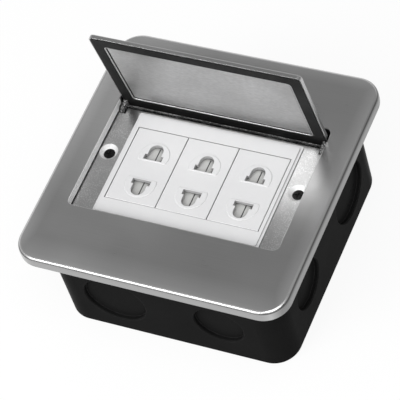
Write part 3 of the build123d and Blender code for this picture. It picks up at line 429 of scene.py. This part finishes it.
def finishes(effects):
    """Every material slot of the record, with its finish, and the finishes of single pieces."""
    made = {}
    # The plate takes painted light on its faces, with a strong painted highlight in its opening.
    made["brushed_stainless"] = metal_finish(
        "brushed stainless plate", effects, (STAINLESS_DARK, STAINLESS, STAINLESS_BRIGHT), fineness=3600.0,
        stroke=22.0, depth=0.000016, roughness=(0.28, 0.06), wear_width=0.00018, corner_shade=(0.0012, 0.9),
        ground=0.95, Anisotropic=0.35)
    made["lid plate"] = metal_finish(
        "brushed stainless lid", effects, (STAINLESS_DARK, STAINLESS, STAINLESS_BRIGHT), fineness=3600.0,
        stroke=22.0, depth=0.000016, roughness=(0.28, 0.06), wear_width=0.00018, corner_shade=(0.0012, 0.9),
        Anisotropic=0.35)
    # The satin sheet takes the plate's painted light on its faces too.
    made["satin_stainless"] = metal_finish(
        "satin stainless sheet", effects, (SATIN_DARK, SATIN, SATIN_BRIGHT), fineness=3600.0, stroke=900.0,
        depth=0.000014, roughness=(0.28, 0.10), wear_width=0.00012, corner_shade=(0.0012, 0.95), ground=0.8,
        specks=(2500.0, 0.21, 0.5))
    made["lid panel"] = metal_finish(
        "dulled lid panel", effects, (PANEL_DARK, PANEL, PANEL_BRIGHT), fineness=1500.0, stroke=500.0,
        depth=0.000010, roughness=(0.30, 0.14), wear_width=0.00036, corner_shade=(0.0010, 1.0), patchy=0.1, cloudy=0.7)
    made["dulled pins"] = metal_finish(
        "dulled hinge pins", effects, (PINS_DARK, PINS, PINS_BRIGHT), fineness=1500.0, stroke=500.0,
        depth=0.000010, roughness=(0.36, 0.12), wear_width=0.00015, corner_shade=(0.0015, 1.0))
    made["zinc_steel"] = metal_finish(
        "zinc plated steel", effects, (ZINC, ZINC_PALE, ZINC_BRIGHT), fineness=900.0, stroke=500.0,
        depth=0.000010, roughness=(0.38, 0.14), wear_width=0.0002)
    made["spring_steel"] = metal_finish(
        "bright spring steel", effects, (SPRING_DARK, SPRING, SPRING_BRIGHT), fineness=4000.0, stroke=300.0,
        depth=0.000006, roughness=(0.26, 0.08), wear_width=0.0001)
    made["contact_brass"] = metal_finish(
        "stamped brass", effects, (BRASS_TARNISHED, BRASS, BRASS_BRIGHT), fineness=2600.0, stroke=160.0,
        depth=0.000008, roughness=(0.30, 0.14), wear_width=0.0002)
    made["black_enamel"] = moulded_finish(
        "black box enamel", effects, ENAMEL, grain=1100.0, depth=0.00003, roughness=(0.32, 0.12),
        wear_width=0.0004, dust=0.25, corner_shade=(0.001, 0.2), IOR=1.035)
    made["black_screw"] = moulded_finish(
        "black oxide screws", effects, BLACK_OXIDE, grain=1800.0, depth=0.00002, roughness=(0.26, 0.10),
        wear_width=0.00012, dust=0.15, IOR=1.25)
    made["black_leaf"] = moulded_finish(
        "black hinge coat", effects, HINGE_COAT, grain=1500.0, depth=0.00003, roughness=(0.36, 0.14),
        wear_width=0.00020, dust=0.12, corner_shade=(0.001, 0.2), specks=(2300.0, 0.30), IOR=1.18)
    made["gasket_rubber"] = moulded_finish(
        "lid gasket rubber", effects, RUBBER, grain=1700.0, depth=0.00004, roughness=(0.50, 0.16),
        wear_width=0.00025, dust=0.3, IOR=1.19)
    made["seal_foam"] = moulded_finish(
        "floor seal foam", effects, FOAM, grain=2300.0, depth=0.00022, roughness=(0.88, 0.10),
        wear_width=0.0003, dust=0.2, Specular_IOR_Level=0.2)
    # The white plastic's steep walls take painted shade.
    made["white_plastic"] = moulded_finish(
        "white moulded plastic", effects, WHITE, grain=3000.0, depth=0.000014, roughness=(0.34, 0.10),
        wear_width=0.00020, dust=0.06, corner_shade=(0.0009, 0.75), painted_wall_light=0.6)
    made["housing_plastic"] = moulded_finish(
        "module housing plastic", effects, HOUSING, grain=2200.0, depth=0.00002, roughness=(0.48, 0.10),
        wear_width=0.0003, dust=0.10, corner_shade=(0.0015, 0.8))
    # A wide painted shade darkens the shutters towards the walls of their openings.
    made["shutter_plastic"] = moulded_finish(
        "shutter plastic", effects, SHUTTER, grain=2600.0, depth=0.000016, roughness=(0.42, 0.10),
        wear_width=0.0001, dust=0.08, corner_shade=(0.0030, 1.0))
    # The colour of the painted shadow lines on the shutters.
    made["shutter seam"] = moulded_finish(
        "shutter seam shadow line", effects, SHUTTER_SHADOW_LINE, grain=2600.0, depth=0.000016, roughness=(0.60, 0.10),
        wear_width=0.00005)
    return made


# ---- Studio ----

def photographs_camera():
    """The camera, where the photograph's was."""
    lens = bpy.data.cameras.new("photograph camera")
    lens.lens = CAMERA_LENS
    lens.sensor_width = SENSOR_WIDTH
    camera = bpy.data.objects.new("photograph camera", lens)
    turn = Matrix((CAMERA_RIGHT, CAMERA_UP, CAMERA_BACK)).transposed().to_4x4()
    camera.matrix_world = Matrix.Translation(CAMERA_PLACE) @ turn
    bpy.context.scene.collection.objects.link(camera)
    bpy.context.scene.camera = camera


def softbox(name, place, toward, size, power):
    """A square lamp that looks at a point."""
    light = bpy.data.lights.new(name, "AREA")
    light.shape = "SQUARE"
    light.size = size
    light.energy = power
    lamp = bpy.data.objects.new(name, light)
    lamp.location = place
    lamp.rotation_mode = "QUATERNION"
    lamp.rotation_quaternion = (Vector(toward) - Vector(place)).to_track_quat("-Z", "Y")
    lamp.visible_camera = False
    bpy.context.scene.collection.objects.link(lamp)


def seen_white(tree):
    """1 for rays that see the background itself: the camera's, and those in metal and glass."""
    ray = put(tree, "LightPath").outputs
    shown = sum_of(tree, "MAXIMUM", ray["Is Camera Ray"], ray["Is Glossy Ray"])
    return sum_of(tree, "MAXIMUM", shown, ray["Is Transmission Ray"])


def pale_floor():
    """A wide pale floor, white to the camera, that keeps the object's shadow and isn't seen from below."""
    mesh = bpy.data.meshes.new("pale floor")
    shape = bmesh.new()
    bmesh.ops.create_grid(shape, x_segments=FLOOR_PARTS, y_segments=FLOOR_PARTS, size=FLOOR_HALF)
    shape.to_mesh(mesh)
    shape.free()
    floor = bpy.data.objects.new("pale_floor", mesh)
    floor.location.z = -FLOOR_DROP
    bpy.context.scene.collection.objects.link(floor)
    material = bpy.data.materials.new("pale floor")
    material.use_nodes = True
    tree = material.node_tree
    tree.nodes.clear()
    ground = put(tree, "BsdfDiffuse", {"Color": (*FLOOR_COLOUR, 1.0)}).outputs[0]
    glow = put(tree, "Emission", {"Color": (1.0, 1.0, 1.0, 1.0), "Strength": FLOOR_GLOW}).outputs[0]
    shadow = put(tree, "BsdfDiffuse", {"Color": (*grey(FLOOR_SHADOW), 1.0)}).outputs[0]
    white = put(tree, "AddShader", {0: glow, 1: shadow}).outputs[0]
    above = put(tree, "MixShader", {0: seen_white(tree), 1: ground, 2: white}).outputs[0]
    clear = put(tree, "BsdfTransparent").outputs[0]
    below = put(tree, "NewGeometry").outputs["Backfacing"]
    put(tree, "OutputMaterial", {"Surface": put(tree, "MixShader", {0: below, 1: above, 2: clear}).outputs[0]})
    mesh.materials.append(material)


def studio_light():
    """White at the horizon and below, greyer overhead and to the right, as in a light tent with an open top."""
    world = bpy.data.worlds.new("light tent")
    bpy.context.scene.world = world
    world.use_nodes = True
    tree = world.node_tree
    tree.nodes.clear()
    toward = put(tree, "SeparateXYZ", {0: put(tree, "TexCoord").outputs["Generated"]}).outputs
    tent = remapped(tree, toward[2], 0.05, 0.65, HORIZON_LIGHT, OVERHEAD_LIGHT)
    tent = sum_of(tree, "MULTIPLY", tent, remapped(tree, toward[0], 0.15, 0.75, 1.0, RIGHT_LIGHT))
    camera_ray = put(tree, "LightPath").outputs["Is Camera Ray"]
    strength = sum_of(tree, "MAXIMUM", tent, camera_ray)
    background = put(tree, "Background", {"Color": (1.0, 1.0, 1.0, 1.0), "Strength": strength})
    put(tree, "OutputWorld", {"Surface": background.outputs[0]})
    for name, (place, facing, side, power) in LAMPS.items():
        softbox(name, place, facing, side, power)


# ---- The part ----

# Nodes whose surface differs from others of the same metal.
OWN_FINISH = {
    "lid_plate": "lid plate",
    "lid_inner_panel": "lid panel",
    "hinge_washers": "dulled pins",
    "hinge_pins": "dulled pins",
}


def dress_cad_nodes(frame, finish):
    """Each CAD node gets the finish of its slot in the record."""
    for row in frame["record"]["subparts"]:
        shown = frame["nodes"][row["node"]]
        shown.data.materials.clear()
        shown.data.materials.append(finish[OWN_FINISH.get(row["node"], row["material_slot"])])


def joint_called(frame, name):
    """One joint of the record, as the frame gives it."""
    return next(joint for joint in frame["joints"] if joint["name"] == name)


def half_round_bead(name, rings, material, closed=False):
    """A bead through rings of points, each a half circle from side to side. It is a loop or has two ends."""
    shape = bmesh.new()
    rings = [[shape.verts.new(spot) for spot in ring] for ring in rings]
    for near, far in zip(rings, rings[1:] + rings[:1] if closed else rings[1:]):
        for side in range(BEAD_SIDES):
            shape.faces.new((near[side], near[side + 1], far[side + 1], far[side]))
        shape.faces.new((near[BEAD_SIDES], near[0], far[0], far[BEAD_SIDES]))
    if not closed:
        shape.faces.new(reversed(rings[0]))
        shape.faces.new(rings[-1])
    bmesh.ops.recalc_face_normals(shape, faces=shape.faces)
    mesh = bpy.data.meshes.new(name)
    shape.to_mesh(mesh)
    shape.free()
    mesh.materials.append(material)
    bead = bpy.data.objects.new(name, mesh)
    bpy.context.scene.collection.objects.link(bead)
    return bead


def shutter_shadow_line(number, frame, finish):
    """A low dark bead along a shutter's slope: a painted shadow line."""
    node = f"shutter_{number}"
    low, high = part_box(node)
    across = low.x + SHADOW_LINE_FROM_SIDE
    rings = []
    for step in range(SHADOW_LINE_STEPS + 1):
        along = low.y + SHADOW_LINE_END_GAP + (high.y - low.y - 2 * SHADOW_LINE_END_GAP) * step / SHADOW_LINE_STEPS
        start = Vector((across, along, high.z + SHADOW_LINE_DROP))
        found, spot, *_ = frame["nodes"][node].ray_cast(start, Vector((0, 0, -1)))
        foot = spot.z if found else high.z
        turns = [pi * turn / BEAD_SIDES for turn in range(BEAD_SIDES + 1)]
        rings.append([(across + SHADOW_LINE_HALF * cos(turn), along, foot + SHADOW_LINE_RISE * sin(turn)) for turn in turns])
    # The shutter's painted shadow line, as its own piece.
    seam = half_round_bead(f"shutter_shadow_line_{number}", rings, finish["shutter seam"])
    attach(seam, node)


def return_spring(number, frame, finish):
    """The zigzag spring behind a shutter, which the shutter presses together against the housing's wall."""
    node, joint_name = f"shutter_spring_{number}", f"shutter_slide_{number}"
    mesh = frame["nodes"][node].data.copy()
    mesh.name = f"return_spring_{number}"
    mesh.materials.clear()
    mesh.materials.append(finish["spring_steel"])
    spring = bpy.data.objects.new(f"return_spring_{number}", mesh)
    bpy.context.scene.collection.objects.link(spring)
    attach(spring, "base")
    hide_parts(node)
    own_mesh(spring)


def panel_shadow_line(frame, finish):
    """A thin black bead round the lid's panel, in the corner at the foot of its lip: a painted shadow line."""
    hinge = joint_called(frame, "lid_hinge")
    pivot = Vector(hinge["pos_m"])
    open_by = radians(hinge["range_deg"][1])
    up_the_lid = Vector((0, -cos(open_by), sin(open_by)))
    out_of_face = Vector((0, -sin(open_by), -cos(open_by)))
    right, left = PANEL_SHADOW_SIDE - PANEL_SHADOW_TURN, PANEL_SHADOW_TURN - PANEL_SHADOW_SIDE
    near, far = PANEL_SHADOW_NEAR + PANEL_SHADOW_TURN, PANEL_SHADOW_FAR - PANEL_SHADOW_TURN
    rings = []
    for across, along, start in ((right, far, 0.0), (left, far, 0.5), (left, near, 1.0), (right, near, 1.5)):
        for step in range(PANEL_SHADOW_STEPS + 1):
            angle = pi * (start + 0.5 * step / PANEL_SHADOW_STEPS)
            ring = []
            for side in range(BEAD_SIDES + 1):
                turn = pi * side / BEAD_SIDES
                reach = PANEL_SHADOW_TURN + PANEL_SHADOW_HALF * cos(turn)
                rise = PANEL_SHADOW_FACE + PANEL_SHADOW_RISE * sin(turn)
                spot = pivot + Vector((across + reach * cos(angle), 0, 0))
                ring.append(spot + up_the_lid * (along + reach * sin(angle)) + out_of_face * rise)
            rings.append(ring)
    # The panel's painted shadow line, in the gasket's rubber.
    bead = half_round_bead("lid_panel_shadow_line", rings, finish["gasket_rubber"], closed=True)
    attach(bead, "lid")


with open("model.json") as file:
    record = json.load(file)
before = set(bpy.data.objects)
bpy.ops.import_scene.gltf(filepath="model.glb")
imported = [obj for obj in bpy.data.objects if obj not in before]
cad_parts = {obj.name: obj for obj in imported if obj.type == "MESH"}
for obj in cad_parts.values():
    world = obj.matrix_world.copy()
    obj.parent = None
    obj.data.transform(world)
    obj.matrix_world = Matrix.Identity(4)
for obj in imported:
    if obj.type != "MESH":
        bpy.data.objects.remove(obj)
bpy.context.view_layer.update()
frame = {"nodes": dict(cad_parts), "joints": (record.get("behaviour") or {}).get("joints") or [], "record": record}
bpy.context.scene.view_settings.view_transform = "Standard"
photographs_camera()
studio_light()
pale_floor()
effects = {"worn edge": worn_edge_effect(), "brushing": brushing_effect(),
           "moulded skin": moulded_skin_effect(), "settled dust": settled_dust_effect(),
           "painted corner shade": painted_corner_shade_effect(), "plate faces": plate_face_effect(),
           "painted wall shade": painted_wall_shade_effect(), "bare specks": bare_speck_effect()}
finish = finishes(effects)
dress_cad_nodes(frame, finish)
for number in (1, 2, 3):
    shutter_shadow_line(number, frame, finish)
    return_spring(number, frame, finish)
panel_shadow_line(frame, finish)
